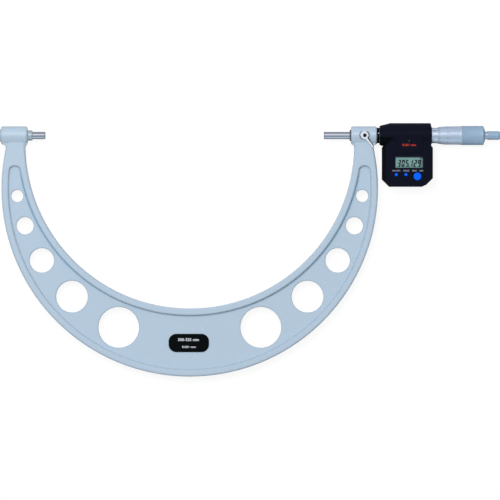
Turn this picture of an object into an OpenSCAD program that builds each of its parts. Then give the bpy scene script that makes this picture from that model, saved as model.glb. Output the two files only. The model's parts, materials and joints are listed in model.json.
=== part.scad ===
// Digital micrometer with a C-shaped frame, lying on its back.
// Origin: middle of the anvil's measuring face. X runs along the spindle, towards the head.
// Y points from the bow of the frame to the spindle. Z points out of the face with the display.

/* [Reading] */

// Lower end of the measuring range
range_start = 300; // [250:25:400]
// How far the spindle stands open beyond that
travel = 5.129; // [0.5:0.001:24.5]

/* [Frame] */

// Depth of the throat below the spindle axis
throat_depth = 189.6; // [180:0.2:200]
// Width of the bow at its lowest point
bow_w = 74.5; // [70:0.5:80]
// Thickness of the frame over its rims
frame_t = 14; // [12:0.5:15]
// Thickness of the sunk web
web_t = 7; // [5:0.5:9]
// Width of each raised rim
rim_w = 7; // [6.4:0.1:7.4]
// Bevel along the edges of the frame
edge_bevel = 1.4; // [0.6:0.1:2]
// Draft of the walls round the web
web_draft = 1.1; // [0.6:0.1:1.4]
// Diameter of the two bosses
boss_d = 20; // [19:0.1:20.5]

/* [Name plate] */

// Length of the plate
plate_w = 44.2; // [36:0.2:46]
// Height of the plate
plate_h = 20; // [18:0.5:21]
// Radius of the plate's corners
plate_corner_r = 8.4; // [5:0.1:9]
// Thickness of the plate
plate_t = 0.8; // [0.5:0.1:1.2]

/* [Spindle and anvil] */

// Diameter of the spindle and of the anvil
spindle_d = 8; // [7:0.1:8.2]
// Length of the hard tips
tip_l = 0.8; // [0.5:0.1:1.5]
// Diameter of the spindle thread
thread_d = 9.5; // [9:0.1:9.8]
// Diameter of the anvil collar
collar_d = 11.3; // [10.4:0.1:12.6]
// Radial clearance of running fits
run_gap = 0.04; // [0.02:0.01:0.08]

/* [Clamp] */

// Distance of the lever's tip from its pivot
lever_l = 16.1; // [13:0.1:16.5]
// Angle of the lever below the spindle axis
lever_angle = 54; // [40:1:88]
// Diameter of the lever's hub
hub_d = 8.4; // [7.8:0.1:9.4]

/* [Head] */

// Diameter of the housing round the spindle axis
barrel_d = 27.2; // [26.6:0.1:27.4]
// Height of the face over the spindle axis
face_z = 13; // [12.9:0.05:13.1]
// Depth of the box behind the spindle axis
back_z = 8; // [7.8:0.1:9]
// Width of the display window
window_w = 30.4; // [28:0.1:31.2]
// Height of the display window
window_h = 12; // [10.5:0.1:12.4]
// Diameter of the two small buttons
small_button_d = 3.5; // [3:0.1:4.4]
// Diameter of the large button
large_button_d = 8.5; // [8:0.1:9.2]
// How far the buttons stand out of the face
button_rise = 0.7; // [0.3:0.1:1]
// Diameter of the battery
battery_d = 11.6; // [9.5:0.1:11.6]

/* [Sleeve and thimble] */

// Diameter of the sleeve
sleeve_d = 17; // [16.6:0.1:17.1]
// Wall of the thimble behind its bevel
thimble_wall = 1.35; // [1.2:0.05:1.6]
// Step from the thimble up to its knurled grip
grip_rise = 0.5; // [0.3:0.05:0.8]
// Diameter of the ratchet knob
knob_d = 9.55; // [9.4:0.05:10]

/* [Hidden] */

$fn = 72;

fit = 0.01;
big = 60;

// bosses and limbs, from the measuring range
boss_r = boss_d / 2;
left_boss = [-48.4, -19.4];
right_boss = [range_start + 34.9, range_start + 63.2];
arc_x = (left_boss[0] + right_boss[1]) / 2 + 0.8;
limb_top_y = -6;
fillet_y = [-8.8, -13.9];
function arc_half(r, dy) = sqrt(r * r - dy * dy);

// each edge of the bow is an arc, set by its depth and half its width where the limbs start
function arc_r(half, depth) = let (h = depth + fillet_y[1]) (half * half + h * h) / (2 * h);
throat_half = (right_boss[0] - left_boss[1]) / 2 + 3.05;
outer_half = (right_boss[1] - left_boss[0]) / 2 - 4.4;
frame_inner_r = arc_r(throat_half, throat_depth);
frame_outer_r = arc_r(outer_half, throat_depth + bow_w);
inner_arc_y = frame_inner_r - throat_depth;
outer_arc_y = frame_outer_r - throat_depth - bow_w;
limb_w = frame_outer_r - frame_inner_r;

// sunk web
pocket_r = frame_outer_r - rim_w;
plug_r = frame_inner_r + rim_w;
pocket_top_y = -40.2;
pocket_depth = (frame_t - web_t) / 2;
pocket_out = arc_half(pocket_r, pocket_top_y - outer_arc_y);
pocket_in = arc_half(plug_r, pocket_top_y - inner_arc_y);
pocket_end_x = (pocket_out + pocket_in) / 2;
pocket_end_r = (pocket_out - pocket_in) / 2 + 0.6;

// the middle of the web is an ellipse, with the centres of the two arcs as its foci
web_long = (pocket_r + plug_r) / 2;
web_focus = (inner_arc_y - outer_arc_y) / 2;
web_short = arc_half(web_long, web_focus);
web_y = (inner_arc_y + outer_arc_y) / 2;
function web_middle(a) = [web_short * cos(a), web_y - web_long * sin(a)];
function web_half(a) = limb_w / 2 - rim_w - web_draft + web_focus * sin(a);
// angle of each lightening hole, and the metal left between it and the walls of the web
web_holes = [[9.71, 2.3], [19.75, 3.6], [32.28, 4.4], [47.69, 5.4], [66.04, 4.7]];

// spindle, its guides and what they sit in
spindle_r = spindle_d / 2;
anvil_seat = 21.6;
anvil_x0 = left_boss[1] - anvil_seat;
collar_l = 5.39;
thread_r = thread_d / 2;
bush_r = 6;
seal_x = [right_boss[0] - 1.5, right_boss[0] + 2];
bush_x = [seal_x[1] + 0.1, right_boss[0] + 21.1];
ring_t = 2.8;
ring_r = 8.55;
pin_x = right_boss[1] + 1.8;
neck_x = [bush_x[1] + 0.2, right_boss[1] + ring_t];
neck_r = 6.7;
clamp_x = right_boss[0] + 14.9;
spot_z = boss_r - 1.8;
hub_top_z = spot_z + 4.8;
lever_z = spot_z + 3.15;
stud_r = 2.25;
shoe_r = 1.96;

// head, placed from the end of its nose
nose_x = neck_x[1] + 0.1;
tube_r = 9.3;
cavity_r = 8;
tube_end_x = nose_x + 45.9;
barrel_end_x = nose_x + 58;
barrel_r = barrel_d / 2;
head_left = nose_x + 2.6;
head_right = nose_x + 58.2;
head_bottom = -56.2;
wall = 2.4;
front_in_z = face_z - 2.2;
back_in_z = back_z - 2;
dish_c = [nose_x + 33, -27.9];
dish_r = 23.3;
dish_z = face_z + 0.4;
panel_x = [nose_x + 17.9, nose_x + 47.1];
panel_y = [-18.2, -0.8];
panel_rise = 0.3;
panel_edge = 1.9;
line_x = [nose_x + 15.3, nose_x + 51.2];
line_y = [-20.1, -19.6];
window_c = [nose_x + 32.1, -29.6];
lcd_w = window_w + 3.1;
lcd_h = window_h + 3.2;
lcd_t = 2.4;
board_x = [nose_x + 11.4, nose_x + 49.5];
board_y = [-53, -12.6];
board_z = 3.6;
board_t = 1.2;
board_top = board_z + board_t;
pad_t = 1;
dome_t = 0.5;
press = 0.6;
left_button_c = [nose_x + 18.2, -43];
middle_button_c = [nose_x + 28.7, -42.9];
large_button_c = [nose_x + 41.3, -44.9];
cover_screw_at = [[nose_x + 8.3, -16.2], [nose_x + 52.5, -16.2], [nose_x + 8.3, -45.3],
    [nose_x + 52.5, -44.3]];
board_screw_at = [[nose_x + 14.1, -15.4], [nose_x + 46.7, -15.4], [nose_x + 24.9, -50.6]];
battery_c = [nose_x + 21.4, -31];
battery_r = battery_d / 2;
battery_t = 5.4;
cap_r = battery_r + 0.95;

// encoder
hub_l = 10.8;
hub_x = [nose_x + 17.7, nose_x + 17.7 + hub_l];
hub_flange_x = hub_x[1] - 2.6;
hub_r = 5.5;
hub_flange_r = 6.5;
key_x = hub_x[1] - 1.3;
key_r = 1;
key_z = 0.8 * spindle_r;
rotor_x = [hub_x[1], hub_x[1] + 1.3];
stator_x = [rotor_x[1] + 0.6, rotor_x[1] + 2.6];
cable_x = [stator_x[0] - 1.3, stator_x[1] - 0.2];
cable_z = [0.55, 0.8];
cable_y = -15;

// sleeve
inner_sleeve_x = [nose_x + 37.9, nose_x + 98.9];
sleeve_r = sleeve_d / 2;
sleeve_tube_r = 7;
guide_end_x = tube_end_x + 2;
nut_x = inner_sleeve_x[1] - 19;
nut_r = 6;
sleeve_step_x = inner_sleeve_x[1] - 8;

// the moving group is placed as it stands at the lower end of the range, then moved by travel
groove_x = [nose_x + 0.8, key_x + 1.4];
thread_l = 46.1;
taper_l = 7.4;
thread_x = [barrel_end_x - 3.3, barrel_end_x - 3.3 + thread_l];
taper_x = [thread_x[1], thread_x[1] + taper_l];
taper_r = [4.4, 3.9];
thimble_x = [barrel_end_x + 0.7, taper_x[1] + 2.17];
thimble_bore_r = sleeve_r + 0.15;
neck_end_x = thimble_x[1] + 2.83;
knob_l = 14.05;
knob_x = [neck_end_x + 0.05, neck_end_x + 0.05 + knob_l];
grip_l = 25.87;
screw_r = 1.45;

// helpers: rods, tubes and turned shapes along the spindle axis
module rod(x0, x1, r) {
    translate([x0, 0, 0])
        rotate([0, 90, 0])
            cylinder(h = x1 - x0, r = r);
}

module tube(x0, x1, outer, inner) {
    difference() {
        rod(x0, x1, outer);
        rod(x0 - 1, x1 + 1, inner);
    }
}

// profile points are [radius, x]
module turned(profile) {
    rotate([0, 90, 0])
        rotate_extrude()
            polygon(profile);
}

// upright pin from z0 to z1 at a point of the plan
module pin(at, z0, z1, r) {
    translate([at[0], at[1], z0])
        cylinder(h = z1 - z0, r = r);
}

// upright box given by its ranges
module block(x, y, z) {
    translate([x[0], y[0], z[0]])
        cube([x[1] - x[0], y[1] - y[0], z[1] - z[0]]);
}

module moving() {
    translate([travel, 0, 0])
        children();
}

// frame
module bow() {
    h = frame_t / 2;
    difference() {
        intersection() {
            translate([arc_x, outer_arc_y, 0])
                rotate_extrude($fn = 240)
                    polygon([[0, -h], [frame_outer_r - edge_bevel, -h],
                        [frame_outer_r, -h + edge_bevel], [frame_outer_r, h - edge_bevel],
                        [frame_outer_r - edge_bevel, h], [0, h]]);
            below(limb_top_y, [-frame_t, frame_t]);
        }
        translate([arc_x, inner_arc_y, 0])
            rotate_extrude($fn = 240)
                polygon([[0, -h - 1], [frame_inner_r + edge_bevel + 1, -h - 1],
                    [frame_inner_r, -h + edge_bevel], [frame_inner_r, h - edge_bevel],
                    [frame_inner_r + edge_bevel + 1, h + 1], [0, h + 1]]);
    }
}

// everything of the bow below a height
module below(y, z) {
    block([arc_x - frame_outer_r - 1, arc_x + frame_outer_r + 1],
        [outer_arc_y - frame_outer_r - 1, y], z);
}

// sunk web on one face, with drafted walls and round ends up the limbs
module web_pocket() {
    floor_z = web_t / 2;
    over = pocket_depth + 1;
    rise = web_draft * over / pocket_depth;
    intersection() {
        difference() {
            translate([arc_x, outer_arc_y, floor_z])
                cylinder(h = over, r1 = pocket_r - web_draft, r2 = pocket_r - web_draft + rise, $fn = 240);
            translate([arc_x, inner_arc_y, floor_z - 1])
                cylinder(h = over + 2, r1 = plug_r + web_draft * (1 + 1 / pocket_depth),
                    r2 = plug_r + web_draft - web_draft * (over + 1) / pocket_depth, $fn = 240);
        }
        union() {
            below(pocket_top_y, [0, frame_t]);
            for (s = [-1, 1])
                translate([arc_x + s * pocket_end_x, pocket_top_y, floor_z])
                    cylinder(h = over, r1 = pocket_end_r - web_draft,
                        r2 = pocket_end_r - web_draft + rise);
        }
    }
}

module web_hole(a, side, metal) {
    bevel = 0.5;
    r = web_half(a) - metal;
    translate([arc_x + side * web_middle(a)[0], web_middle(a)[1], 0]) {
        translate([0, 0, -frame_t / 2])
            cylinder(h = frame_t, r = r);
        for (s = [-1, 1])
            rotate([s > 0 ? 0 : 180, 0, 0])
                translate([0, 0, web_t / 2 - bevel])
                    cylinder(h = bevel * 2, r1 = r, r2 = r + bevel * 2);
    }
}

// soft sets how far the edge at the right end is rounded
module boss(x, soft) {
    r = boss_r;
    turned([[0, x[0]], [r - 1.6, x[0]], [r - 0.5, x[0] + 0.45], [r, x[0] + 1.5],
        [r, x[1] - 1.5 * soft], [r - 0.5 * soft, x[1] - 0.45 * soft], [r - 1.6 * soft, x[1]],
        [0, x[1]]]);
}

// hollow fillet from the end of a boss to the edge of its limb
module fillet(boss_end, limb_r, limb_y, side, top) {
    h = frame_t / 2 - edge_bevel;
    x0 = boss_end;
    x1 = arc_x + side * arc_half(limb_r, fillet_y[1] - limb_y);
    back = x1 + (x1 > x0 ? 4 : -4);
    translate([0, 0, -h])
        linear_extrude(2 * h)
            polygon(concat([[x0, limb_top_y]],
                [for (a = [0:22.5:90]) [x0 + (x1 - x0) * sin(a),
                    fillet_y[1] + (top - fillet_y[1]) * cos(a)]],
                [[back, fillet_y[1]], [back, limb_top_y]]));
}

module frame() {
    color("LightSteelBlue")
    difference() {
        union() {
            bow();
            boss(left_boss, 1.3);
            boss(right_boss, 1);
            fillet(left_boss[0] + 0.8, frame_outer_r, outer_arc_y, -1, fillet_y[0] - 0.8);
            fillet(left_boss[1] - 0.6, frame_inner_r, inner_arc_y, -1, fillet_y[0] - 0.8);
            fillet(right_boss[0] + 0.4, frame_inner_r, inner_arc_y, 1, fillet_y[0]);
            fillet(right_boss[1] - 0.5, frame_outer_r, outer_arc_y, 1, fillet_y[0]);
        }
        web_pocket();
        mirror([0, 0, 1])
            web_pocket();
        for (h = web_holes)
            for (s = [-1, 1])
                web_hole(h[0], s, h[1]);
        rod(anvil_x0 - 1, left_boss[1] + 1, spindle_r + fit);
        rod(left_boss[0] - 1, anvil_x0, 5);
        rod(right_boss[0] - 1, bush_x[1] + 1, bush_r + fit);
        rod(bush_x[1], right_boss[1] + 1, neck_r + fit);
        pin([clamp_x, 0], spot_z, boss_r + 1, 5.8);
        pin([clamp_x, 0], 4, boss_r, stud_r + fit);
    }
}

module name_plate() {
    r = plate_corner_r;
    color("Black")
    translate([arc_x - 1, web_middle(90)[1] - 0.4, web_t / 2])
        linear_extrude(plate_t)
            union() {
                square([plate_w - 2 * r, plate_h], center = true);
                square([plate_w, plate_h - 2 * r], center = true);
                for (sx = [-1, 1], sy = [-1, 1])
                    translate([sx * (plate_w / 2 - r), sy * (plate_h / 2 - r)])
                        circle(r = r);
            }
}

// anvil side
module anvil() {
    color("Silver")
    rod(anvil_x0, -tip_l, spindle_r);
}

module anvil_tip() {
    r = spindle_r;
    color("DimGray")
    turned([[0, -tip_l], [r, -tip_l], [r, -0.2], [r - 0.2, 0], [0, 0]]);
}

module anvil_collar() {
    r = collar_d / 2;
    x0 = left_boss[1] + fit;
    x1 = x0 + collar_l;
    color("DarkGray")
    difference() {
        turned([[0, x0], [r, x0], [r, x1 - 0.9], [r - 0.9, x1], [0, x1]]);
        rod(x0 - 1, x1 + 1, spindle_r + fit);
    }
}

module anvil_end_cap() {
    x0 = left_boss[0];
    color("LightSteelBlue")
    turned([[0, anvil_x0 - 0.1], [4.98, anvil_x0 - 0.1], [4.98, x0 - fit], [7, x0 - fit],
        [7, x0 - 0.8], [6, x0 - 1.6], [3.5, x0 - 2], [0, x0 - 2]]);
}

// spindle guides and clamp
module spindle_bush() {
    color("Silver")
    difference() {
        rod(bush_x[0], bush_x[1], bush_r);
        rod(bush_x[0] - 1, bush_x[1] + 1, spindle_r + run_gap);
        pin([clamp_x, 0], 1, bush_r + 1, shoe_r + 0.04);
    }
}

module spindle_seal() {
    color("DarkSlateGray")
    difference() {
        turned([[0, seal_x[0]], [5.6, seal_x[0]], [6.3, seal_x[0] + 0.6], [6.3, right_boss[0] - fit],
            [bush_r, right_boss[0] - fit], [bush_r, seal_x[1]], [0, seal_x[1]]]);
        rod(seal_x[0] - 1, seal_x[1] + 1, spindle_r + run_gap + 0.02);
    }
}

module clamp_shoe() {
    color("Goldenrod")
    pin([clamp_x, 0], spindle_r + 0.05, 6.25, shoe_r);
}

module clamp_stud() {
    color("Silver")
    difference() {
        pin([clamp_x, 0], 6.3, hub_top_z - 2.45, stud_r);
        pin([clamp_x, 0], 7.5, hub_top_z, 1.02);
    }
}

module clamp_lever() {
    r = hub_d / 2;
    color("Gainsboro")
    translate([clamp_x, 0, 0])
        difference() {
            union() {
                rotate_extrude()
                    polygon([[0, spot_z + 0.02], [r, spot_z + 0.02], [r, hub_top_z - 0.6],
                        [r - 0.6, hub_top_z], [0, hub_top_z]]);
                translate([0, 0, lever_z])
                    rotate([0, 0, -lever_angle])
                        rotate([0, 90, 0])
                            rotate_extrude()
                                polygon([[0, 3], [1.95, 3], [1, lever_l - 0.9],
                                    [0.5, lever_l], [0, lever_l]]);
            }
            pin([0, 0], spot_z - 1, hub_top_z - 1, stud_r + 0.02);
            pin([0, 0], hub_top_z - 2.4, hub_top_z + 1, 2.75);
        }
}

module clamp_screw() {
    color("DimGray")
    translate([clamp_x, 0, 0])
        difference() {
            union() {
                pin([0, 0], hub_top_z - 2.35, hub_top_z - 0.6, 2.68);
                pin([0, 0], 7.6, hub_top_z - 2.35, 1);
            }
            translate([0, 0, hub_top_z - 1.8])
                cylinder(h = 3, r = 1.44, $fn = 6);
        }
}

module lock_ring() {
    color("DimGray")
    difference() {
        rod(right_boss[1] + 0.02, neck_x[1] - 0.02, ring_r);
        rod(right_boss[1] - 1, neck_x[1] + 1, neck_r + fit);
        for (a = [30:60:330])
            rotate([a, 0, 0])
                block([right_boss[1] - 1, neck_x[1] + 1], [-1, 1], [7.9, 10]);
        rotate([-15.6, 0, 0])
            pin([pin_x, 0], neck_r, 9, 0.61);
    }
}

module locating_pin() {
    color("White")
    rotate([-15.6, 0, 0])
        pin([pin_x, 0], neck_r + 0.02, ring_r + 0.4, 0.6);
}

// head
module main_barrel() {
    color("Silver")
    difference() {
        turned([[0, neck_x[0]], [neck_r, neck_x[0]], [neck_r, neck_x[1]], [tube_r, neck_x[1]],
            [tube_r, tube_end_x], [0, tube_end_x]]);
        rod(neck_x[0] - 1, neck_x[1] + 7, spindle_r + 0.3);
        rod(neck_x[1] + 6, tube_end_x + 1, cavity_r);
        cable_slot(-tube_r - 1, -cavity_r + 0.6, cable_z[0] - 0.25);
    }
}

// room for the flat cable
module cable_slot(y0, y1, z0) {
    block([cable_x[0] - 0.3, cable_x[1] + 0.8], [y0, y1], [z0, cable_z[1] + 0.3]);
}

module inner_sleeve() {
    color("Silver")
    difference() {
        turned([[0, inner_sleeve_x[0]], [cavity_r - fit, inner_sleeve_x[0]],
            [cavity_r - fit, guide_end_x], [sleeve_tube_r, guide_end_x],
            [sleeve_tube_r, sleeve_step_x], [nut_r, sleeve_step_x], [nut_r, inner_sleeve_x[1]],
            [0, inner_sleeve_x[1]]]);
        rod(inner_sleeve_x[0] - 1, guide_end_x, spindle_r + run_gap);
        rod(guide_end_x - 0.5, nut_x, thread_r + 0.45);
        rod(nut_x - 0.5, inner_sleeve_x[1] + 1, thread_r + run_gap);
    }
}

module outer_sleeve() {
    color("Gainsboro")
    tube(guide_end_x + 0.02, sleeve_step_x - 0.5, sleeve_r, sleeve_tube_r + 0.02);
}

module adjusting_nut() {
    color("Goldenrod")
    difference() {
        tube(sleeve_step_x + 0.05, inner_sleeve_x[1] - 0.4, sleeve_r - 0.5, nut_r + fit);
        for (z = [[nut_r + 0.3, sleeve_r + 1], [-sleeve_r - 1, -nut_r - 0.3]])
            block([inner_sleeve_x[1] - 2, inner_sleeve_x[1] + 1], [-1, 1], z);
    }
}

module bearing_ring() {
    color("Goldenrod")
    tube(hub_x[0] + 2.2, hub_flange_x - 0.3, cavity_r - 0.02, hub_r + run_gap);
}

module rotor_hub() {
    color("Silver")
    difference() {
        turned([[0, hub_x[0]], [hub_r, hub_x[0]], [hub_r, hub_x[0] + 0.8], [4.9, hub_x[0] + 0.8],
            [4.9, hub_x[0] + 1.9], [hub_r, hub_x[0] + 1.9], [hub_r, hub_flange_x],
            [hub_flange_r, hub_flange_x], [hub_flange_r, hub_x[1]], [0, hub_x[1]]]);
        rod(hub_x[0] - 1, hub_x[1] + 1, spindle_r + run_gap);
        pin([key_x, 0], 1, hub_flange_r + 1, key_r);
    }
}

module rotor_key() {
    color("DimGray")
    pin([key_x, 0], key_z, hub_flange_r - 0.1, key_r);
}

module hub_clip() {
    color("DimGray")
    difference() {
        tube(hub_x[0] + 0.85, hub_x[0] + 1.85, hub_r + 1.1, 4.9);
        block([hub_x[0], hub_x[0] + 3], [-1.5, 1.5], [-9, -3]);
    }
}

module encoder_rotor() {
    color("DarkGreen")
    tube(rotor_x[0], rotor_x[1], 7.4, spindle_r + 0.4);
}

module encoder_stator() {
    color("DarkGreen")
    tube(stator_x[0], stator_x[1], cavity_r - 0.02, spindle_r + 0.6);
}

module flex_cable() {
    color("Orange")
    union() {
        block(cable_x, [cable_y, -cavity_r + 0.02], cable_z);
        block(cable_x, [cable_y, cable_y + 0.3], [cable_z[0], board_z]);
    }
}

// outline of the box below the barrel, moved in by d
function box_outline(d) = [[head_left + d, -13.2], [head_left + 1.2 + d, -12],
    [head_left + 1.2 + d, -6], [head_right - 2.4 - d, -6], [head_right - 1.9 - d, -11],
    [head_right - d, -13.5], [head_right - d, head_bottom + 9.2 + 0.4 * d],
    [head_right - 7 - 0.6 * d, head_bottom + 2.2 + 0.8 * d],
    [head_right - 11.8 - 0.2 * d, head_bottom + d], [head_left + 8 + 0.4 * d, head_bottom + d],
    [head_left + d, head_bottom + 8 + 0.4 * d]];

module barrel_shape() {
    r = barrel_r;
    turned([[0, nose_x], [10.3, nose_x], [11.3, nose_x + 2.2], [11.7, nose_x + 4.4],
        [r - 0.8, nose_x + 8.8], [r, nose_x + 11.4], [r, barrel_end_x - 2.5],
        [r - 0.4, barrel_end_x - 1.9], [r - 1.7, barrel_end_x - 1.5],
        [sleeve_r + 0.9, barrel_end_x - 1.1], [sleeve_r + 0.3, barrel_end_x - 0.6],
        [0, barrel_end_x - 0.6]]);
}

// everything in front of the split plane, or behind it
module half(front) {
    block([nose_x - 1, head_right + 5], [head_bottom - 5, barrel_r + 5], front ? [0, big] : [-big, 0]);
}

// wedge that cuts the edge of the face at 45 degrees
module face_bevel(at, turn) {
    translate([at[0], at[1], face_z])
        rotate([0, 0, turn])
            rotate([-45, 0, 0])
                translate([-big, 0, 0])
                    cube([2 * big, big, big]);
}

module box_cavity(d, z0, z1, left, right) {
    translate([0, 0, z0])
        linear_extrude(z1 - z0)
            polygon([[left, -12], [left, head_bottom + 9.4], [head_left + 8.7, head_bottom + wall + d],
                [head_right - 12.1, head_bottom + wall + d], [head_right - 8.3, head_bottom + 4.2 + d],
                [right, head_bottom + 10], [right, -12]]);
}

module front_block() {
    difference() {
        linear_extrude(face_z)
            polygon(box_outline(0));
        face_bevel([head_left + 4.6, 0], 90);
        face_bevel([head_left + 4.6, -11.8], 45);
        face_bevel([head_left + 4.6, head_bottom + 8.9], 135);
        face_bevel([head_right - 1.2, 0], -90);
        face_bevel([0, head_bottom + 1.2], 180);
    }
}

module front_cover() {
    color("MidnightBlue")
    difference() {
        union() {
            difference() {
                union() {
                    intersection() {
                        barrel_shape();
                        half(true);
                    }
                    front_block();
                    pin(dish_c, face_z - 1, dish_z, dish_r);
                    block(panel_x, panel_y, [face_z - 2, barrel_r + panel_rise]);
                }
                rod(nose_x - 1, tube_end_x + 0.2, tube_r + 0.05);
                rod(tube_end_x, head_right + 5, sleeve_r + 0.05);
                box_cavity(0, -1, 8, head_left + wall, head_right - wall);
                box_cavity(0.6, 7.5, front_in_z, head_left + 6.7, head_right - 3);
            }
            for (p = cover_screw_at)
                pin(p, 0, front_in_z + 0.4, 2.9);
            for (p = board_screw_at)
                pin(p, board_top, front_in_z + 0.5, 2.2);
        }
        for (p = cover_screw_at)
            pin(p, -1, 6.5, 0.98);
        for (p = board_screw_at)
            pin(p, 0, board_top + 4.2, 0.8);
        block([panel_x[0] + panel_edge, panel_x[1] - panel_edge],
            [panel_y[0] + panel_edge, panel_y[1] - panel_edge / 2], [barrel_r - 0.1, barrel_r + 2]);
        block(line_x, line_y, [dish_z - 0.3, dish_z + 1]);
        translate([window_c[0], window_c[1], front_in_z - 1])
            linear_extrude(5)
                square([window_w, window_h], center = true);
        translate([window_c[0], window_c[1], front_in_z - 1])
            linear_extrude(2)
                square([window_w + 2.5, window_h + 2.4], center = true);
        button_hole(left_button_c, small_button_d / 2);
        button_hole(middle_button_c, small_button_d / 2);
        button_hole(large_button_c, large_button_d / 2);
        cable_slot(-12.5, -tube_r + 0.3, -1);
    }
}

module button_hole(at, r) {
    pin(at, front_in_z - 1, dish_z + 1, r + 0.15);
    pin(at, dish_z - 0.5, dish_z + 1, r + 0.9);
}

module rear_cover() {
    color("MidnightBlue")
    difference() {
        union() {
            difference() {
                union() {
                    intersection() {
                        barrel_shape();
                        half(false);
                    }
                    translate([0, 0, -back_z])
                        linear_extrude(back_z)
                            polygon(box_outline(0));
                }
                rod(nose_x - 1, tube_end_x + 0.2, tube_r + 0.05);
                rod(tube_end_x, head_right + 5, sleeve_r + 0.05);
                box_cavity(0, -back_in_z, 1, head_left + wall, head_right - wall);
            }
            for (p = cover_screw_at)
                pin(p, -back_in_z - 0.5, 0, 2.9);
            pin(battery_c, -back_in_z - 0.5, -back_in_z + 4.6, battery_r + 1.2);
        }
        for (p = cover_screw_at) {
            pin(p, -back_z - 1, 1, 1.1);
            pin(p, -back_z - 1, -back_z + 1.6, 2.2);
        }
        pin(battery_c, -back_in_z - 0.1, 2, battery_r + 0.1);
        pin(battery_c, -back_z - 1, -back_in_z, cap_r + 0.05);
    }
}

module display_window() {
    color("LightGray", 0.5)
    translate([window_c[0], window_c[1], 0])
        union() {
            translate([0, 0, front_in_z + 0.05])
                linear_extrude(0.95)
                    square([window_w + 2.4, window_h + 2.3], center = true);
            translate([0, 0, front_in_z + 1])
                linear_extrude(1.1)
                    square([window_w - 0.1, window_h - 0.1], center = true);
        }
}

module lcd_panel() {
    color("DarkSeaGreen")
    translate([window_c[0], window_c[1], front_in_z - lcd_t])
        linear_extrude(lcd_t)
            square([lcd_w, lcd_h], center = true);
}

module lcd_holder() {
    color("DimGray")
    translate([window_c[0], window_c[1], board_top])
        linear_extrude(front_in_z - lcd_t - board_top)
            difference() {
                square([lcd_w, lcd_h], center = true);
                square([lcd_w - 7, lcd_h - 6], center = true);
            }
}

module circuit_board() {
    color("DarkGreen")
    difference() {
        block(board_x, board_y, [board_z, board_top]);
        for (p = board_screw_at)
            pin(p, board_z - 1, board_top + 1, 0.9);
    }
}

module processor_chip() {
    at = [nose_x + 33.9, -36];
    color("Black")
    block([at[0], at[0] + 10], [at[1], at[1] + 10], [board_z - 1.6, board_z]);
}

module button_pad() {
    top = board_top + pad_t;
    color("SlateGray")
    union() {
        block([window_c[0] - lcd_w / 2, middle_button_c[0] + 6], [-46.2, -39], [board_top, top]);
        block([large_button_c[0] - 7.6, large_button_c[0] + 5.6], [-50.4, -39], [board_top, top]);
        for (p = [left_button_c, middle_button_c])
            translate([p[0], p[1], top])
                cylinder(h = dome_t, r1 = 2.2, r2 = 1.4);
        translate([large_button_c[0], large_button_c[1], top])
            cylinder(h = dome_t, r1 = 3.5, r2 = 2.5);
    }
}

// the stem reaches through the cover, the flange holds it in, the nub rests over the pad
module push_button(at, r) {
    top = dish_z + button_rise;
    flange = front_in_z - 0.05;
    color("DodgerBlue")
    translate([at[0], at[1], 0])
        rotate_extrude()
            polygon([[0, board_top + pad_t + dome_t + press + 0.15],
                [1, board_top + pad_t + dome_t + press + 0.15], [1, flange - 1],
                [r + 0.8, flange - 1], [r + 0.8, flange], [r, flange], [r, top - 0.3],
                [r - 0.3, top], [0, top]]);
}

module left_button() {
    push_button(left_button_c, small_button_d / 2);
}

module middle_button() {
    push_button(middle_button_c, small_button_d / 2);
}

module large_button() {
    push_button(large_button_c, large_button_d / 2);
}

module battery() {
    color("Silver")
    pin(battery_c, -back_in_z, -back_in_z + battery_t, battery_r);
}

module battery_contact() {
    low = -back_in_z + battery_t;
    x = battery_c[0] + battery_r;
    color("Goldenrod")
    translate([0, battery_c[1] + 2, 0])
        rotate([90, 0, 0])
            linear_extrude(4)
                polygon([[x - 7, low], [x, low], [x, board_z - 0.3], [x + 4, board_z - 0.3],
                    [x + 4, board_z], [x - 0.3, board_z], [x - 0.3, low + 0.3], [x - 7, low + 0.3]]);
}

module battery_cap() {
    z = -back_z;
    color("MidnightBlue")
    difference() {
        translate([battery_c[0], battery_c[1], 0])
            rotate_extrude()
                polygon([[0, z], [cap_r, z], [cap_r, z + 0.8], [cap_r - 0.9, z + 0.8],
                    [cap_r - 0.9, -back_in_z - 0.05], [0, -back_in_z - 0.05]]);
        block([battery_c[0] - 5, battery_c[0] + 5], [battery_c[1] - 0.7, battery_c[1] + 0.7],
            [z - 1, z + 1]);
    }
}

module cap_o_ring() {
    color("Black")
    translate([battery_c[0], battery_c[1], -back_z + 1.28])
        rotate_extrude()
            translate([cap_r - 0.46, 0])
                circle(r = 0.44);
}

module cover_screws() {
    color("DimGray")
    for (p = cover_screw_at)
        difference() {
            union() {
                pin(p, -back_z + 0.1, -back_z + 1.6, 2.1);
                pin(p, -back_z + 1.5, 6, 0.96);
            }
            block([p[0] - 1.2, p[0] + 1.2], [p[1] - 0.25, p[1] + 0.25], [-back_z - 1, -back_z + 0.8]);
            block([p[0] - 0.25, p[0] + 0.25], [p[1] - 1.2, p[1] + 1.2], [-back_z - 1, -back_z + 0.8]);
        }
}

module board_screws() {
    color("DimGray")
    for (p = board_screw_at)
        difference() {
            union() {
                pin(p, board_z - 1, board_z, 1.5);
                pin(p, board_z - 0.5, board_top + 3.8, 0.78);
            }
            block([p[0] - 2, p[0] + 2], [p[1] - 0.2, p[1] + 0.2], [board_z - 2, board_z - 0.6]);
        }
}

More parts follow.
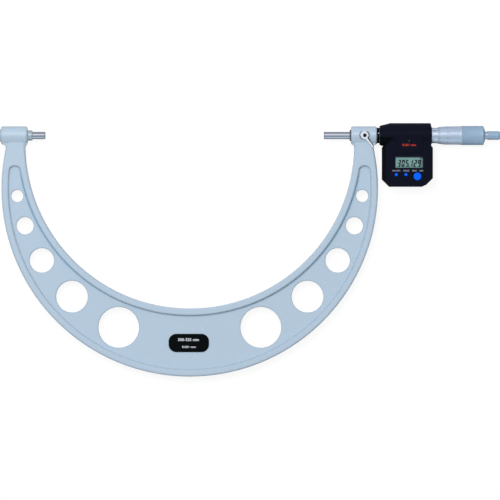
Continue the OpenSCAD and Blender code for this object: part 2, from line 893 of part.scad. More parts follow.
// spindle group
module spindle() {
    r = spindle_r;
    color("Silver")
    moving()
        difference() {
            turned([[0, range_start + tip_l], [r, range_start + tip_l], [r, thread_x[0] - 0.5],
                [thread_r, thread_x[0]], [thread_r, thread_x[1]], [taper_r[0], taper_x[0]],
                [taper_r[1], taper_x[1]], [0, taper_x[1]]]);
            block(groove_x, [-key_r - run_gap, key_r + run_gap], [key_z - 0.15, r + 1]);
            rod(taper_x[0] - 4.9, taper_x[1] + 1, screw_r + 0.05);
        }
}

module spindle_tip() {
    r = spindle_r;
    x = range_start;
    color("DimGray")
    moving()
        turned([[0, x], [r - 0.2, x], [r, x + 0.2], [r, x + tip_l], [0, x + tip_l]]);
}

module thimble() {
    r = thimble_bore_r + thimble_wall;
    g = r + grip_rise;
    x0 = thimble_x[0];
    x1 = thimble_x[1];
    color("LightSteelBlue")
    moving()
        difference() {
            turned([[0, x0], [thimble_bore_r + 0.4, x0], [r - 0.05, x0 + 7.4], [r, x0 + 12],
                [r + 0.1, x1 - grip_l - 2], [g - 0.2, x1 - grip_l - 0.7], [g, x1 - grip_l],
                [g, x1 - 2.2], [g - 0.3, x1 - 1.7], [g - 0.8, x1 - 1.45], [g - 3, x1 - 0.75],
                [g - 5.3, x1], [0, x1]]);
            rod(x0 - 1, taper_x[0], thimble_bore_r);
            translate([taper_x[0] - 0.01, 0, 0])
                rotate([0, 90, 0])
                    cylinder(h = taper_x[1] - taper_x[0] + 0.01, r1 = taper_r[0] + fit,
                        r2 = taper_r[1] + fit);
            rod(taper_x[1] - 0.5, x1 + 1, taper_r[1] + fit);
        }
}

module ratchet_driver() {
    x0 = thimble_x[1] + 0.02;
    color("Gainsboro")
    moving()
        difference() {
            turned([[0, taper_x[1] + 0.05], [taper_r[1] - 0.03, taper_x[1] + 0.05],
                [taper_r[1] - 0.03, x0], [4.5, x0], [4.5, x0 + 0.4], [4.1, x0 + 0.7],
                [4.1, x0 + 1.9], [4.6, x0 + 2.3], [4.6, neck_end_x - 0.05], [0, neck_end_x - 0.05]]);
            rod(taper_x[1] - 1, neck_end_x + 1, screw_r + 0.15);
        }
}

module ratchet_pawl() {
    x0 = knob_x[0] + 0.05;
    color("Goldenrod")
    moving()
        tube(x0, x0 + 2, 3.85, screw_r + 0.25);
}

module ratchet_spring() {
    x0 = knob_x[0] + 2.07;
    color("DarkGray")
    moving()
        tube(x0, x0 + 4, 3.4, 2.7);
}

module ratchet_screw() {
    x1 = knob_x[1] - 4.4;
    color("DarkGray")
    moving()
        difference() {
            union() {
                rod(taper_x[0] - 3.9, x1 + 0.5, screw_r);
                rod(x1 + 0.05, x1 + 2.4, 2.7);
            }
            block([x1 + 1.4, x1 + 4], [-0.4, 0.4], [-4, 4]);
        }
}

module ratchet_knob() {
    r = knob_d / 2;
    x0 = knob_x[0];
    x1 = knob_x[1];
    color("LightSteelBlue")
    moving()
        difference() {
            turned([[0, x0], [r, x0], [r, x1 - 2.2], [r - 0.25, x1 - 1.5], [r - 0.7, x1 - 0.7],
                [r - 1.4, x1], [0, x1]]);
            rod(x0 - 1, x0 + 6.1, 3.9);
            rod(x0, x1 + 1, screw_r + 0.15);
            rod(x1 - 4.4, x1 + 1, 2.85);
        }
}

frame();
name_plate();
anvil();
anvil_tip();
anvil_collar();
anvil_end_cap();
spindle_bush();
spindle_seal();
clamp_shoe();
clamp_stud();
clamp_lever();
clamp_screw();
lock_ring();
locating_pin();
main_barrel();
inner_sleeve();
outer_sleeve();
adjusting_nut();
bearing_ring();
rotor_hub();
rotor_key();
hub_clip();
encoder_rotor();
encoder_stator();
flex_cable();
spindle();
spindle_tip();
thimble();
ratchet_driver();
ratchet_pawl();
ratchet_spring();
ratchet_screw();
ratchet_knob();
front_cover();
rear_cover();
display_window();
lcd_panel();
lcd_holder();
circuit_board();
processor_chip();
button_pad();
left_button();
middle_button();
large_button();
battery();
battery_contact();
battery_cap();
cap_o_ring();
cover_screws();
board_screws();
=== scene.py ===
import json
import math

import bmesh
import bpy
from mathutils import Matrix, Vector


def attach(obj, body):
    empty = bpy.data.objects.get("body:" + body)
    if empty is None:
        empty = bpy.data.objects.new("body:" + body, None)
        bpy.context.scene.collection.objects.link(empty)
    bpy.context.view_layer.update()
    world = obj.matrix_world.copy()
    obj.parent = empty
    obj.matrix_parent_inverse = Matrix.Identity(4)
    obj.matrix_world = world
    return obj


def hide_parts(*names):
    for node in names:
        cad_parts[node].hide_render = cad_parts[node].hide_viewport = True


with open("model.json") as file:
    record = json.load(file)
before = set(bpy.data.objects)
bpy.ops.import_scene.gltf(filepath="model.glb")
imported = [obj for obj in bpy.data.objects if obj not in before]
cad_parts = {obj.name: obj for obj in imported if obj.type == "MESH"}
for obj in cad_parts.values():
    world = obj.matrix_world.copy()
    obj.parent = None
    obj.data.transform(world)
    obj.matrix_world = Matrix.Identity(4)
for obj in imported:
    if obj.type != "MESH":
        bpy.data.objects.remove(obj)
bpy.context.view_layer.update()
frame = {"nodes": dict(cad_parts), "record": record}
nodes = frame["nodes"]
mm = 0.001
print("frame loaded", len(nodes), "nodes")


# shader wiring: a value or a link goes into a socket
def plug(tree, socket, value):
    if isinstance(value, Wire):
        tree.links.new(value.socket, socket)
    elif isinstance(value, tuple) and len(value) == 3 and len(socket.default_value) == 4:
        socket.default_value = value + (1,)
    else:
        socket.default_value = value


# a socket that takes part in Python expressions
class Wire:
    def __init__(self, tree, socket):
        self.tree = tree
        self.socket = socket

    def calc(self, operation, *values):
        node = self.tree.nodes.new("ShaderNodeMath")
        node.operation = operation
        for place, value in enumerate(values):
            plug(self.tree, node.inputs[place], value)
        return Wire(self.tree, node.outputs[0])

    def __add__(self, other):
        return self.calc("ADD", self, other)

    def __radd__(self, other):
        return self.calc("ADD", other, self)

    def __sub__(self, other):
        return self.calc("SUBTRACT", self, other)

    def __rsub__(self, other):
        return self.calc("SUBTRACT", other, self)

    def __mul__(self, other):
        return self.calc("MULTIPLY", self, other)

    def __rmul__(self, other):
        return self.calc("MULTIPLY", other, self)

    def __truediv__(self, other):
        return self.calc("DIVIDE", self, other)

    def __rtruediv__(self, other):
        return self.calc("DIVIDE", other, self)

    def __pow__(self, other):
        return self.calc("POWER", self, other)

    def __rpow__(self, other):
        return self.calc("POWER", other, self)

    def most(self, other):
        return self.calc("MAXIMUM", self, other)

    def clear(self):
        low = self.most(0.0)
        return low.calc("MINIMUM", low, 1.0)

    def __gt__(self, other):
        return self.calc("GREATER_THAN", self, other)


class Paint:
    def __init__(self, owner):
        owner.use_nodes = True
        self.owner = owner
        self.tree = owner.node_tree
        self.tree.nodes.clear()

    def node(self, kind, settings=None, sockets=None, out=0):
        made = self.tree.nodes.new("ShaderNode" + kind)
        for key, value in (settings or {}).items():
            if key == "stops":
                ramp = made.color_ramp
                while len(ramp.elements) < len(value):
                    ramp.elements.new(1)
                for element, (place, shade) in zip(ramp.elements, value):
                    element.position = place
                    element.color = shade + (1,)
            else:
                setattr(made, key, value)
        for key, value in (sockets or {}).items():
            plug(self.tree, made.inputs[key], value)
        return Wire(self.tree, made.outputs[out]) if made.outputs else None

    def end(self, surface):
        kind = "OutputWorld" if isinstance(self.owner, bpy.types.World) else "OutputMaterial"
        self.node(kind, sockets={"Surface": surface})
        return self.owner

    def noise(self, size, detail=2, stretch=(1, 1, 1)):
        place = self.node("TexCoord", out=3)
        place = self.node("Mapping", sockets={"Vector": place, "Scale": stretch})
        return self.node("TexNoise", sockets={"Vector": place, "Scale": 1 / size, "Detail": detail})

    def split(self, vector):
        first = self.node("SeparateXYZ", sockets={"Vector": vector})
        return [Wire(self.tree, socket) for socket in first.socket.node.outputs]

    def place(self):
        return self.split(self.node("TexCoord", out=3))

    # noise lies mostly between 0.3 and 0.7
    def spread(self, wire, low, high):
        return self.node("MapRange", sockets={
            "Value": wire, "From Min": 0.3, "From Max": 0.7, "To Min": low, "To Max": high})

    def times(self, colour, wire):
        return self.node("VectorMath", {"operation": "SCALE"}, {0: colour, 3: wire})

    def blend(self, wire, first, second):
        return self.node("Mix", {"data_type": "RGBA"}, {0: wire, 6: first, 7: second}, out=2)


# colours as a screen shows them, 0 to 255
def rgb(*levels):
    return tuple(((v / 255 + 0.055) / 1.055) ** 2.4 if v > 10 else v / 255 / 12.92 for v in levels)


# one finish: two colours in a fine cloud, wear in its gloss, rounded edges
def finish(name, dark, light, grain=1.0, stretch=(1, 1, 1), rough=(0.4, 0.5), metal=0.0,
           relief=0.0, edge=0.0, shine=0.5, coat=0.0, change=None):
    paint = Paint(bpy.data.materials.new(name))
    cloud = paint.noise(grain * mm, 3, stretch)
    shade = paint.blend(paint.spread(cloud, 0, 1), rgb(*dark), rgb(*light))
    if change:
        shade = change(paint, shade)
    wear = paint.noise(grain * 7 * mm, 2, stretch)      # much coarser than the cloud
    sockets = {"Base Color": shade, "Roughness": paint.spread(wear, *rough), "Metallic": metal,
               "Specular IOR Level": shine, "Coat Weight": coat, "Coat Roughness": 0.1,
               "Coat IOR": 1.9}
    normal = None
    if edge:
        normal = paint.node("Bevel", {"samples": 4}, {"Radius": edge * mm})
    if relief:
        bump = {"Height": cloud, "Strength": 1.0, "Distance": relief * mm}
        if normal:
            bump["Normal"] = normal
        normal = paint.node("Bump", sockets=bump)
    if normal:
        sockets["Normal"] = normal
    return paint.end(paint.node("BsdfPrincipled", sockets=sockets))


# where a colour changes over a piece, places in mm
def band(wire, middle, half):
    off = (wire - middle * mm) / (half * mm)
    return (1 - off * off).clear()


def distance(x, y, centre):
    x, y = x - centre[0] * mm, y - centre[1] * mm
    return (x * x + y * y) ** 0.5


# paint, with painted shade at the foot of the inner rim, most of all up the limbs, and painted
# shade in two arcs round the clamp's seat
step = {"centre": (158.2, -9.342), "radius": 187.9, "half": 2.3, "start": -34, "full": -48,
        "least": 0.15, "depth": 0.7, "paintedShade": (130, 168, 192)}
seat = {"centre": (349.8, 0), "radius": 4.75, "half": 0.55, "turn": 38, "from": 0.6, "sharp": 4,
        "seatShade": (8, 10, 16)}


def paintChange(paint, shade):
    x, y, z = paint.place()
    far = distance(x, y, step["centre"])
    start, full = step["start"] * mm, step["full"] * mm
    below = ((start - y) / (start - full)).clear()
    outward = (x - step["centre"][0] * mm) / (step["radius"] * mm)
    share = outward * outward * (1 - step["least"]) + step["least"]
    # painted shade along the foot of the inner rim
    foot = band(far, step["radius"], step["half"]) * below * share
    shade = paint.blend(foot * step["depth"], shade, rgb(*step["paintedShade"]))
    # painted shade in two arcs round the clamp's seat, in front only
    ring = band(distance(x, y, seat["centre"]), seat["radius"], seat["half"])
    turn = math.radians(seat["turn"])
    along = (x - seat["centre"][0] * mm) * math.cos(turn) + y * math.sin(turn)
    lean = along / (seat["radius"] * mm)
    sides = ((lean * lean - seat["from"]) * seat["sharp"]).clear()
    seatShade = ring * sides * (z > 0.0)     # the back of the boss gets no painted shade
    return paint.blend(seatShade, shade, rgb(*seat["seatShade"]))


# lever: a painted dark reflection along the arm's far flank, where nothing lit is mirrored
arm = {"turn": -54, "start": 3.6, "flank": 0.4, "blur": 0.3, "dark": (14, 14, 20)}


def leverChange(paint, shade):
    x, y = paint.place()[:2]
    x = x - seat["centre"][0] * mm
    turn = math.radians(arm["turn"])
    along = x * math.cos(turn) + y * math.sin(turn)
    across = y * math.cos(turn) - x * math.sin(turn)
    # painted dark reflection on the far flank
    dark = ((across - arm["flank"] * mm) / (arm["blur"] * mm)).clear() * (along > arm["start"] * mm)
    return paint.blend(dark, shade, rgb(*arm["dark"]))


# clamp screw: a polished rim round a dark centre, painted shade of its socket
socketRim = {"radius": 1.95, "blur": 0.25, "bright": (240, 241, 245)}


def screwChange(paint, shade):
    x, y = paint.place()[:2]
    rim = (distance(x, y, seat["centre"]) / mm - socketRim["radius"]) / socketRim["blur"]
    # dark inside the rim: painted shade of the socket
    return paint.blend(rim.clear(), shade, rgb(*socketRim["bright"]))


# finishes of the nodes
paintLook = {"dark": (164, 184, 202), "light": (176, 195, 212), "grain": 0.55,
             "rough": (0.42, 0.55), "relief": 0.03, "edge": 2.2, "coat": 0.8,
             "change": paintChange}
steelLook = {"dark": (196, 199, 206), "light": (208, 210, 216), "grain": 0.5,
             "stretch": (0.3, 1, 1), "rough": (0.14, 0.2), "metal": 1.0, "edge": 0.15}

finishes = {
    "frame_paint": finish("framePaint", **paintLook),
    "black_plate": finish("blackPlate", (4, 7, 7), (8, 11, 11), 0.8, rough=(0.4, 0.5), edge=0.15,
                          shine=0.05),
    "ground_steel": finish("groundSteel", **steelLook),
    "hard_metal": finish("hardMetal", (168, 170, 176), (182, 184, 190), 0.3, rough=(0.2, 0.28),
                         metal=1.0, edge=0.1),
    "satin_steel": finish("satinSteel", (176, 192, 196), (190, 206, 210), 0.4, (0.3, 1, 1),
                          (0.3, 0.4), 0.6, edge=0.15),
    "satin_chrome": finish("satinChrome", (182, 198, 216), (194, 210, 228), 0.35, (0.3, 1, 1),
                           (0.32, 0.4), 0.5, edge=0.12),
    "bright_chrome": finish("brightChrome", (240, 241, 245), (247, 248, 251), 1.2,
                            rough=(0.12, 0.18), metal=0.4, edge=0.3, change=leverChange),
    "dark_steel": finish("darkSteel", (38, 38, 42), (58, 58, 63), 0.4, rough=(0.2, 0.3), metal=1.0,
                         edge=0.15),
    "black_ring": finish("blackRing", (8, 9, 12), (14, 15, 18), 0.5, rough=(0.4, 0.5), edge=0.2,
                         shine=0.05),
    "brass": finish("brass", (178, 141, 72), (196, 160, 92), 0.6, rough=(0.25, 0.35), metal=1.0,
                    edge=0.15),
    "black_rubber": finish("blackRubber", (62, 70, 82), (76, 84, 97), 0.3, rough=(0.6, 0.75),
                           relief=0.02),
    "board_green": finish("boardGreen", (14, 72, 44), (20, 92, 56), 1.1, rough=(0.3, 0.4)),
    "amber_film": finish("amberFilm", (176, 108, 30), (196, 128, 44), 0.7, rough=(0.25, 0.35)),
    "chip_black": finish("chipBlack", (20, 20, 22), (32, 32, 34), 0.4, rough=(0.5, 0.6)),
    "blue_button": finish("blueButton", (4, 84, 224), (8, 102, 246), 0.5, rough=(0.3, 0.4),
                          edge=0.6, shine=0.12),
    "battery_steel": finish("batterySteel", (176, 176, 174), (194, 194, 192), 0.5, rough=(0.2, 0.3),
                            metal=1.0, edge=0.2),
}


# clear window: mostly see-through, a little shine
def windowFinish(look):
    paint = Paint(bpy.data.materials.new("clearWindow"))
    clear = paint.node("BsdfTransparent", sockets={"Color": look["tint"]})
    haze = paint.spread(paint.noise(look["grain"] * mm), *look["rough"])
    shine = paint.node("BsdfGlossy", sockets={"Color": look["mirrored"], "Roughness": haze})
    share = paint.node("Fresnel", sockets={"IOR": look["index"]}) * look["gloss"] + look["least"]
    return paint.end(paint.node("MixShader", sockets={0: share, 1: clear, 2: shine}))


finishes["clear_window"] = windowFinish({
    "tint": (0.97, 0.985, 0.98), "mirrored": (0.9, 0.92, 0.94), "grain": 3, "rough": (0.05, 0.12),
    "index": 1.45, "gloss": 0.6, "least": 0.01})


# housing: fine-grained, with painted shade on both flanks and in the corner under the barrel
def housingFinish(look):
    paint = Paint(bpy.data.materials.new("blackHousing"))
    x, y = paint.place()[:2]
    cloud = paint.noise(look["grain"] * mm, 3)
    shade = paint.blend(paint.spread(cloud, 0, 1), rgb(*look["dark"]), rgb(*look["light"]))
    foot, slope, top = look["corner"]
    border = (y - foot[1] * mm).most(0.0) * slope + foot[0] * mm
    blur = look["blur"] * mm
    left = (border - x) / blur + 0.5
    under = (top * mm - y) / (2 * blur) + 0.5
    right = (x - look["right"] * mm) / blur + 0.5
    corner = (left.clear() * under.clear()).most(right.clear())
    # painted shade on the flanks and in the corner under the barrel
    shade = paint.blend(corner, shade, rgb(*look["paintedShade"]))
    normal = paint.node("Bevel", {"samples": 4}, {"Radius": look["edge"] * mm})
    bump = paint.node("Bump", sockets={
        "Height": cloud, "Strength": 1.0, "Distance": look["relief"] * mm, "Normal": normal})
    wear = paint.spread(paint.noise(look["wear"] * mm), *look["rough"])
    return paint.end(paint.node("BsdfPrincipled", sockets={
        "Base Color": shade, "Roughness": wear, "Specular IOR Level": look["shine"],
        "Normal": bump}))


finishes["black_housing"] = housingFinish({
    "dark": (8, 11, 23), "light": (13, 16, 30), "paintedShade": (1, 2, 3), "grain": 0.4,
    "corner": ((373.0, -11.0), 0.93, -2.2), "right": 423.6, "blur": 0.7, "edge": 0.3,
    "relief": 0.02, "wear": 3, "rough": (0.4, 0.5), "shine": 0.08})


# display glass: duller along its edges, where the window's frame shades it
def displayFinish(look):
    paint = Paint(bpy.data.materials.new("lcdGlass"))
    x, y = paint.place()[:2]
    cloud = paint.noise(look["grain"] * mm)
    shade = paint.blend(paint.spread(cloud, 0, 1), rgb(*look["dark"]), rgb(*look["light"]))
    for axis, name in ((y, "top"), (y, "bottom"), (x, "left"), (x, "right")):
        clear, full = look[name]
        fade = paint.node("MapRange", sockets={
            "Value": axis, "From Min": clear * mm, "From Max": full * mm,
            "To Min": 1.0, "To Max": look["edge"]})
        shade = paint.times(shade, fade)
    return paint.end(paint.node("BsdfPrincipled", sockets={
        "Base Color": shade, "Roughness": look["rough"]}))


finishes["lcd_glass"] = displayFinish({
    "dark": (117, 158, 152), "light": (125, 166, 160), "grain": 1.5, "rough": 0.33, "edge": 0.3,
    "top": (-25.2, -23.6), "bottom": (-34.6, -35.4), "left": (384.2, 383.4),
    "right": (409.5, 413.6)})
# knurled bands and the turned ends behind them: rougher than the satin chrome, and darker as
# painted shade of the knurl
knurlFinish = finish("knurledChrome", (140, 168, 192), (160, 186, 208), 0.3, rough=(0.4, 0.5),
                     metal=0.25)

for part in frame["record"]["subparts"]:
    worn = nodes[part["node"]].data.materials
    worn.clear()
    worn.append(finishes[part["material_slot"]])

# three pieces with their own copies of a finish: the driver and the sleeve glossier and lighter,
# the lighter colour a painted highlight, and the clamp screw darker, painted shade of its socket
ownFinishes = {
    "ratchet_driver": finish("driverChrome", (196, 208, 226), (206, 218, 236), 0.35,
                             rough=(0.2, 0.26), metal=0.75, edge=0.12),
    "clamp_screw": finish("clampScrew", (16, 16, 20), (26, 26, 30), 0.4, rough=(0.25, 0.35),
                          metal=0.4, change=screwChange),
    "outer_sleeve": finish("sleeveChrome", (200, 212, 230), (210, 222, 238), 0.35, (0.3, 1, 1),
                           (0.24, 0.3), 0.55, edge=0.12),
}
for name, look in ownFinishes.items():
    nodes[name].data.materials[0] = look
print("finishes done")


# plain one-colour finishes for printed marks, with a little unevenness in the ink
def ink(name, dark, light):
    return finish(name, dark, light, 0.25, rough=(0.45, 0.55))


blackInk = ink("blackInk", (38, 40, 50), (54, 56, 68))
whiteInk = ink("whiteInk", (205, 210, 222), (228, 232, 240))
greyInk = ink("greyInk", (150, 155, 172), (176, 180, 196))
redInk = ink("redInk", (190, 44, 14), (212, 58, 24))
greenInk = ink("greenInk", (96, 112, 40), (120, 134, 56))
digitInk = finish("digitInk", (2, 6, 12), (6, 10, 18), 0.25, rough=(0.5, 0.6), shine=0.02)


def addObject(name, data):
    made = bpy.data.objects.new(name, data)
    bpy.context.scene.collection.objects.link(made)
    return made


# printed marks: flat shapes laid on a surface by a function from plan to space, in mm
def onFlat(z):
    return lambda x, y: (x, y, z)


def onRound(radius, lift=0.02):
    def place(x, y):
        r = radius(x) + lift
        turn = y / radius(x)
        return (x, r * math.sin(turn), r * math.cos(turn))
    return place


class Marks:
    def __init__(self, where):
        self.mesh = bmesh.new()
        self.where = where

    def face(self, points):
        corners = [self.mesh.verts.new(Vector(self.where(x, y)) * mm) for x, y in points]
        self.mesh.faces.new(corners)

    def bar(self, x0, x1, y0, y1):
        self.face([(x0, y0), (x1, y0), (x1, y1), (x0, y1)])

    def words(self, text, centre, height, width=None, bold=0.0):
        curve = bpy.data.curves.new("words", "FONT")
        curve.body = text
        curve.offset = bold
        curve.resolution_u = 3
        carrier = addObject("words", curve)
        flat = bpy.data.meshes.new_from_object(
            carrier.evaluated_get(bpy.context.evaluated_depsgraph_get()))
        bpy.data.objects.remove(carrier)
        xs = [v.co.x for v in flat.vertices]
        ys = [v.co.y for v in flat.vertices]
        tall = height / (max(ys) - min(ys))
        wide = width / (max(xs) - min(xs)) if width else tall
        mid = ((max(xs) + min(xs)) / 2, (max(ys) + min(ys)) / 2)
        corners = [self.mesh.verts.new(Vector(self.where(
            centre[0] + (v.co.x - mid[0]) * wide, centre[1] + (v.co.y - mid[1]) * tall)) * mm)
            for v in flat.vertices]
        for polygon in flat.polygons:
            self.mesh.faces.new([corners[i] for i in polygon.vertices])
        bpy.data.meshes.remove(flat)

    def piece(self, name, body, material):
        data = bpy.data.meshes.new(name)
        self.mesh.to_mesh(data)
        self.mesh.free()
        data.materials.append(material)
        made = addObject(name, data)
        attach(made, body)


# where the moving group stands, in mm: how far the faces are open past 300
opened = 5.129
sleeveRadius = 8.5
edgeX = 424.8 + opened      # front edge of the thimble

# sleeve scale: a mark for each half millimetre on both sides of the datum line
sleeve = {"zero": 424.68, "turn": -5.9, "line": 0.14, "lineStart": 424.2, "lineOver": 0.4,
          "tick": 0.13, "short": 1.3, "long": 2.3, "length": 25, "every": 5, "number": 6.4,
          "height": 1.7}
datum = math.radians(sleeve["turn"]) * sleeveRadius
scale = Marks(onRound(lambda x: sleeveRadius))
scale.bar(sleeve["lineStart"], sleeve["zero"] + sleeve["length"] + sleeve["lineOver"],
          datum - sleeve["line"] / 2, datum + sleeve["line"] / 2)
for half in range(2 * sleeve["length"] + 1):
    x = sleeve["zero"] + half / 2
    reach = sleeve["long"] if half % (2 * sleeve["every"]) == 0 else sleeve["short"]
    low, high = (datum, datum + reach) if half % 2 == 0 else (datum - sleeve["short"], datum)
    scale.bar(x - sleeve["tick"] / 2, x + sleeve["tick"] / 2, low, high)
for value in range(sleeve["every"], sleeve["length"] + 1, sleeve["every"]):
    scale.words(str(value), (sleeve["zero"] + value, datum + sleeve["number"]), sleeve["height"])
unit = {"text": "0 mm", "right": 1.7, "width": 3.4, "bold": 0.08}
scale.words(unit["text"], (sleeve["zero"] + unit["right"], datum + sleeve["number"]),
            sleeve["height"], unit["width"], unit["bold"])
scale.piece("sleeveScale", "body", blackInk)

# thimble: lathe profile in mm from its front edge, outside before and after the knurled band, and
# back through the bore
thimble = {"start": edgeX, "knurl": (26.3, 46.9), "radius": 10.5, "around": 84, "pitch": 0.78,
           "depth": 0.17,
           "before": [(0, 9.05), (7.4, 9.95), (12, 10), (23.8, 10.1), (25.1, 10.3), (25.8, 10.5),
                      (26.3, 10.5)],
           "after": [(47.0, 10.5), (49.47, 10.5), (49.97, 10.2), (50.22, 9.7), (50.92, 7.5),
                     (51.67, 5.2)],
           "bore": [(51.67, 3.91), (49.5, 3.91), (42.1, 4.41), (42.1, 8.65), (0, 8.65)]}


def outerRadius(x):
    along = x - thimble["start"]
    outer = thimble["before"]
    for (a, ra), (b, rb) in zip(outer, outer[1:]):
        if along <= b:
            return ra + (rb - ra) * (along - a) / (b - a)
    return outer[-1][1]


# a turned piece with a diamond knurl between two stations: steps to a diamond, how hollow its
# flanks are, and the angle in degrees from which an edge is sharp
cuts = {"steps": 4, "power": 1.5, "crease": 28}


def knurled(name, spec):
    shape = bmesh.new()
    around = spec["around"] * cuts["steps"]
    first, last = spec["knurl"]
    rows = int(round((last - first) / spec["pitch"] * cuts["steps"]))
    stations = [(along, radius, False) for along, radius in spec["before"]]
    stations += [(first + (last - first) * n / rows, spec["radius"], True) for n in range(1, rows)]
    stations += [(along, radius, False) for along, radius in spec["after"] + spec["bore"]]
    rings = []
    for along, radius, cut in stations:
        ring = []
        for n in range(around):
            r = radius
            if cut:
                a = n / cuts["steps"]
                b = (along - first) / spec["pitch"]
                one = abs(((a + b) % 1) - 0.5) * 2
                two = abs(((a - b) % 1) - 0.5) * 2
                r -= spec["depth"] * max(one, two) ** cuts["power"]
            turn = 2 * math.pi * n / around
            ring.append(shape.verts.new(Vector((
                spec["start"] + along, r * math.sin(turn), r * math.cos(turn))) * mm))
        rings.append(ring)
    cutRings = [n for n, station in enumerate(stations) if station[2]]
    for place, (one, two) in enumerate(zip(rings, rings[1:] + rings[:1])):
        for n in range(around):
            m = (n + 1) % around
            face = shape.faces.new([one[n], two[n], two[m], one[m]])
            face.smooth = True
            face.material_index = int(cutRings[0] <= place < cutRings[-1] + len(spec["after"]))
    bmesh.ops.recalc_face_normals(shape, faces=shape.faces)
    data = bpy.data.meshes.new(name)
    shape.to_mesh(data)
    shape.free()
    data.set_sharp_from_angle(angle=math.radians(cuts["crease"]))
    data.materials.append(finishes["satin_chrome"])
    data.materials.append(knurlFinish)
    return addObject(name, data)


grip = knurled("knurledThimble", thimble)
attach(grip, "spindle")
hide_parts("thimble")

# ratchet knob, the same way
knob = {"start": 479.35 + opened, "knurl": (0.6, 9.4), "radius": 4.775, "around": 38,
        "pitch": 0.78, "depth": 0.15,
        "before": [(0, 4.55), (0.25, 4.775), (0.6, 4.775)],
        "after": [(9.7, 4.775), (11.85, 4.775), (12.55, 4.525), (13.35, 4.075), (14.05, 3.375)],
        "bore": [(14.05, 2.85), (9.65, 2.85), (9.65, 1.6), (6.1, 1.6), (6.1, 3.9), (0, 3.9)]}
tip = knurled("knurledKnob", knob)
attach(tip, "knob")
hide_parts("ratchet_knob")

# thimble scale: fifty divisions on the bevel, a number at every fifth
divisions = {"count": 50, "every": 5, "facing": 10, "turn": -16.6, "start": 0.15, "short": 2.6,
             "long": 3.9, "tick": 0.13, "number": 1.6, "back": 10.7}
rounds = Marks(onRound(outerRadius))
for n in range(divisions["count"]):
    turn = math.radians(divisions["turn"] + 360 / divisions["count"] * (n - divisions["facing"]))
    turn = math.atan2(math.sin(turn), math.cos(turn))
    numbered = n % divisions["every"] == 0
    reach = divisions["long"] if numbered else divisions["short"]
    x0, x1 = edgeX + divisions["start"], edgeX + reach
    y0, y1 = turn * outerRadius(x0), turn * outerRadius(x1)
    half = divisions["tick"] / 2
    rounds.face([(x0, y0 - half), (x1, y1 - half), (x1, y1 + half), (x0, y0 + half)])
    if numbered:
        x = edgeX + divisions["back"]
        rounds.words(str(n), (x, turn * outerRadius(x)), divisions["number"])
rounds.piece("thimbleScale", "spindle", blackInk)
print("thimble and scales done")

# display digits as seven bars each, leaning to the right
digits = {"shown": "305129", "before": 3, "x": 385.3, "y": -34.55, "width": 3.3, "height": 7.8,
          "pitch": 4.4, "stroke": 1.35, "gap": 0.03, "lean": 0.13, "point": 1.25, "back": 0.75,
          "z": 10.85}
displayUnit = {"text": "mm", "centre": (411.7, -24.9), "height": 1.2, "width": 2.5, "bold": 0.04}
lit = {"0": "abcdef", "1": "bc", "2": "abged", "3": "abgcd", "5": "afgcd", "9": "abcdfg"}


# bars are cut at 45 degrees on their inner side only, as on such displays
def segment(kind, w, h, t, g):
    half = h / 2
    if kind == "g":
        return [(2 * g, half), (t + g, half + t / 2), (w - t - g, half + t / 2), (w - 2 * g, half),
                (w - t - g, half - t / 2), (t + g, half - t / 2)]
    if kind in "ad":
        shape = [(g, 0), (w - g, 0), (w - t - g, t), (t + g, t)]
    else:
        shape = [(0, g), (0, half - g), (t, half - t / 2 - g), (t, t + g)]
    if kind in "abf":
        shape = [(x, h - y) for x, y in shape]
    if kind in "bc":
        shape = [(w - x, y) for x, y in shape]
    return shape if kind in "cdf" else shape[::-1]      # so that each face looks up


shown = Marks(onFlat(digits["z"]))
for place, figure in enumerate(digits["shown"]):
    left = digits["x"] + place * digits["pitch"]
    for kind in lit[figure]:
        shape = segment(kind, digits["width"], digits["height"], digits["stroke"], digits["gap"])
        shown.face([(left + x + y * digits["lean"], digits["y"] + y) for x, y in shape])
point = digits["x"] + digits["before"] * digits["pitch"] - digits["back"]
shown.bar(point, point + digits["point"], digits["y"], digits["y"] + digits["point"])
shown.words(**displayUnit)
shown.piece("displayDigits", "body", digitInk)

# printed words on the head
legends = {"z": 13.43, "y": -38.7, "height": 1.75,
           "words": (("ORIGIN", 379.7, 388.3), ("HOLD", 391.9, 398.3), ("ZERO", 401.5, 406.8),
                     ("ABS", 409.2, 413.7))}
legend = Marks(onFlat(legends["z"]))
for text, left, right in legends["words"]:
    legend.words(text, ((left + right) / 2, legends["y"]), legends["height"], right - left)
legend.piece("buttonLegends", "body", greyInk)

panel = {"z": 13.53, "tick": [(397.6, -5.2), (398.4, -6.9), (399.2, -5.2), (398.4, -6.0)],
         "words": {"text": "0.001 mm", "centre": (398.3, -10.5), "height": 2.6, "width": 14.8,
                   "bold": 0.01}}
caption = Marks(onFlat(panel["z"]))
caption.words(**panel["words"])
caption.piece("resolutionMark", "body", redInk)

tick = Marks(onFlat(panel["z"]))
tick.face(panel["tick"])
tick.piece("panelTick", "body", greenInk)

# range and resolution on the name plate
plate = {"z": 4.33, "words": (
    {"text": "300-325 mm", "centre": (156.8, -223.6), "height": 3.2, "width": 23, "bold": 0.015},
    {"text": "0.001 mm", "centre": (157.3, -231.6), "height": 2.3, "width": 15, "bold": 0.01})}
label = Marks(onFlat(plate["z"]))
for line in plate["words"]:
    label.words(**line)
label.piece("plateRange", "body", whiteInk)
print("marks done")

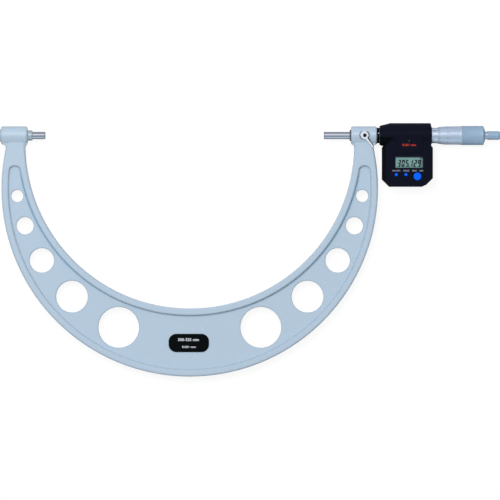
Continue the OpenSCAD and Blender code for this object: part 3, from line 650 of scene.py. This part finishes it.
# floor, in metres: white, one-sided, brighter for the camera so that only a faint shadow stays
ground = {"size": 8, "middle": (0.22, -0.12, -0.01361), "matt": (0.12, 0.12, 0.12),
          "glow": (0.9, 0.9, 0.9), "bounced": (0.85, 0.85, 0.85), "mirrored": (0.3, 0.32, 0.36)}
floorPaint = Paint(bpy.data.materials.new("floor"))
toCamera = floorPaint.node("LightPath", out=0)
toGloss = floorPaint.node("LightPath", out=3)
bounce = floorPaint.blend(toGloss, ground["bounced"], ground["mirrored"])
matt = floorPaint.node("BsdfDiffuse", sockets={
    "Color": floorPaint.blend(toCamera, bounce, ground["matt"])})
glow = floorPaint.node("Emission", sockets={
    "Color": floorPaint.blend(toCamera, (0.0, 0.0, 0.0), ground["glow"]), "Strength": 1.0})
upper = floorPaint.node("AddShader", sockets={0: matt, 1: glow})
gone = floorPaint.node("BsdfTransparent")
under = floorPaint.node("NewGeometry", out=6)       # seen from below
bpy.ops.mesh.primitive_plane_add(size=ground["size"], location=ground["middle"])
floor = bpy.context.object
floor.name = "floor"
floor.data.materials.append(
    floorPaint.end(floorPaint.node("MixShader", sockets={0: under, 1: upper, 2: gone})))

# world: white for the camera, soft light for matt surfaces, and bands for metal: degrees about
# the spindle from straight up, and the light that metal mirrors from there
room = {"soft": (0.95, 0.97, 1.0), "level": 0.42, "slope": 0.12, "dimFrom": 0.25, "dimTo": 0.6,
        "dimmed": 0.12,
        "bands": [(-125, (0.5, 0.6, 0.66)), (-96, (0.5, 0.6, 0.66)), (-78, (0.76, 0.92, 1.02)),
                  (-58, (0.76, 0.92, 1.02)), (-46, (0.34, 0.42, 0.5)), (-12, (0.38, 0.44, 0.52)),
                  (2, (0.52, 0.6, 0.68)), (12, (0.7, 0.72, 0.8)), (18, (1.45, 1.38, 1.44)),
                  (32, (1.45, 1.38, 1.44)), (42, (0.7, 0.7, 0.8)), (58, (0.4, 0.44, 0.56)),
                  (76, (0.42, 0.47, 0.58)), (92, (0.72, 0.8, 0.86)), (108, (1.1, 1.2, 1.26)),
                  (130, (1.1, 1.2, 1.26))]}
world = bpy.data.worlds.new("room")
bpy.context.scene.world = world
sky = Paint(world)
side, across, up = sky.split(sky.node("TexCoord", out=0))
angle = across.calc("ARCTAN2", across, up) / (2 * math.pi) + 0.5
stops = [(degrees / 360 + 0.5, colour) for degrees, colour in room["bands"]]
bands = sky.node("ValToRGB", {"stops": stops}, {0: angle})
soft = sky.node("Background", sockets={
    "Color": sky.times(room["soft"], room["level"] + across * room["slope"]), "Strength": 1.0})
dim = sky.node("MapRange", sockets={
    "Value": side, "From Min": room["dimFrom"], "From Max": room["dimTo"],
    "To Min": 1.0, "To Max": room["dimmed"]})
sharp = sky.node("Background", sockets={"Color": sky.times(bands, dim), "Strength": 1.0})
white = sky.node("Background", sockets={"Color": (1.0, 1.0, 1.0), "Strength": 1.0})
seen = sky.node("LightPath", out=0)
glossed = sky.node("LightPath", out=3)
mixed = sky.node("MixShader", sockets={0: glossed, 1: soft, 2: sharp})
sky.end(sky.node("MixShader", sockets={0: seen, 1: mixed, 2: white}))

# one large soft lamp, in metres and watts, which metal doesn't mirror
keyLamp = {"place": (-0.2, 0.6, 2.35), "target": (0.22, -0.12, 0), "size": 1.4, "power": 52,
           "colour": (1.0, 0.99, 0.98)}
data = bpy.data.lights.new("key", "AREA")
data.shape = "DISK"
data.size = keyLamp["size"]
data.energy = keyLamp["power"]
data.color = keyLamp["colour"]
key = addObject("key", data)
key.location = keyLamp["place"]
towards = Vector(keyLamp["target"]) - Vector(keyLamp["place"])
key.rotation_euler = towards.to_track_quat("-Z", "Y").to_euler()
key.visible_glossy = False

# camera straight above, in metres, its lens and sensor in mm
view = {"place": (0.22421, -0.12545, 8.0), "lens": 525.7, "sensor": 36, "near": 0.1, "far": 40}
camData = bpy.data.cameras.new("camera")
camera = addObject("camera", camData)
camera.location = view["place"]
camData.sensor_width = view["sensor"]
camData.lens = view["lens"]
camData.clip_start = view["near"]
camData.clip_end = view["far"]
bpy.context.scene.camera = camera
bpy.context.scene.view_settings.view_transform = "Standard"
print("floor, light and camera done")
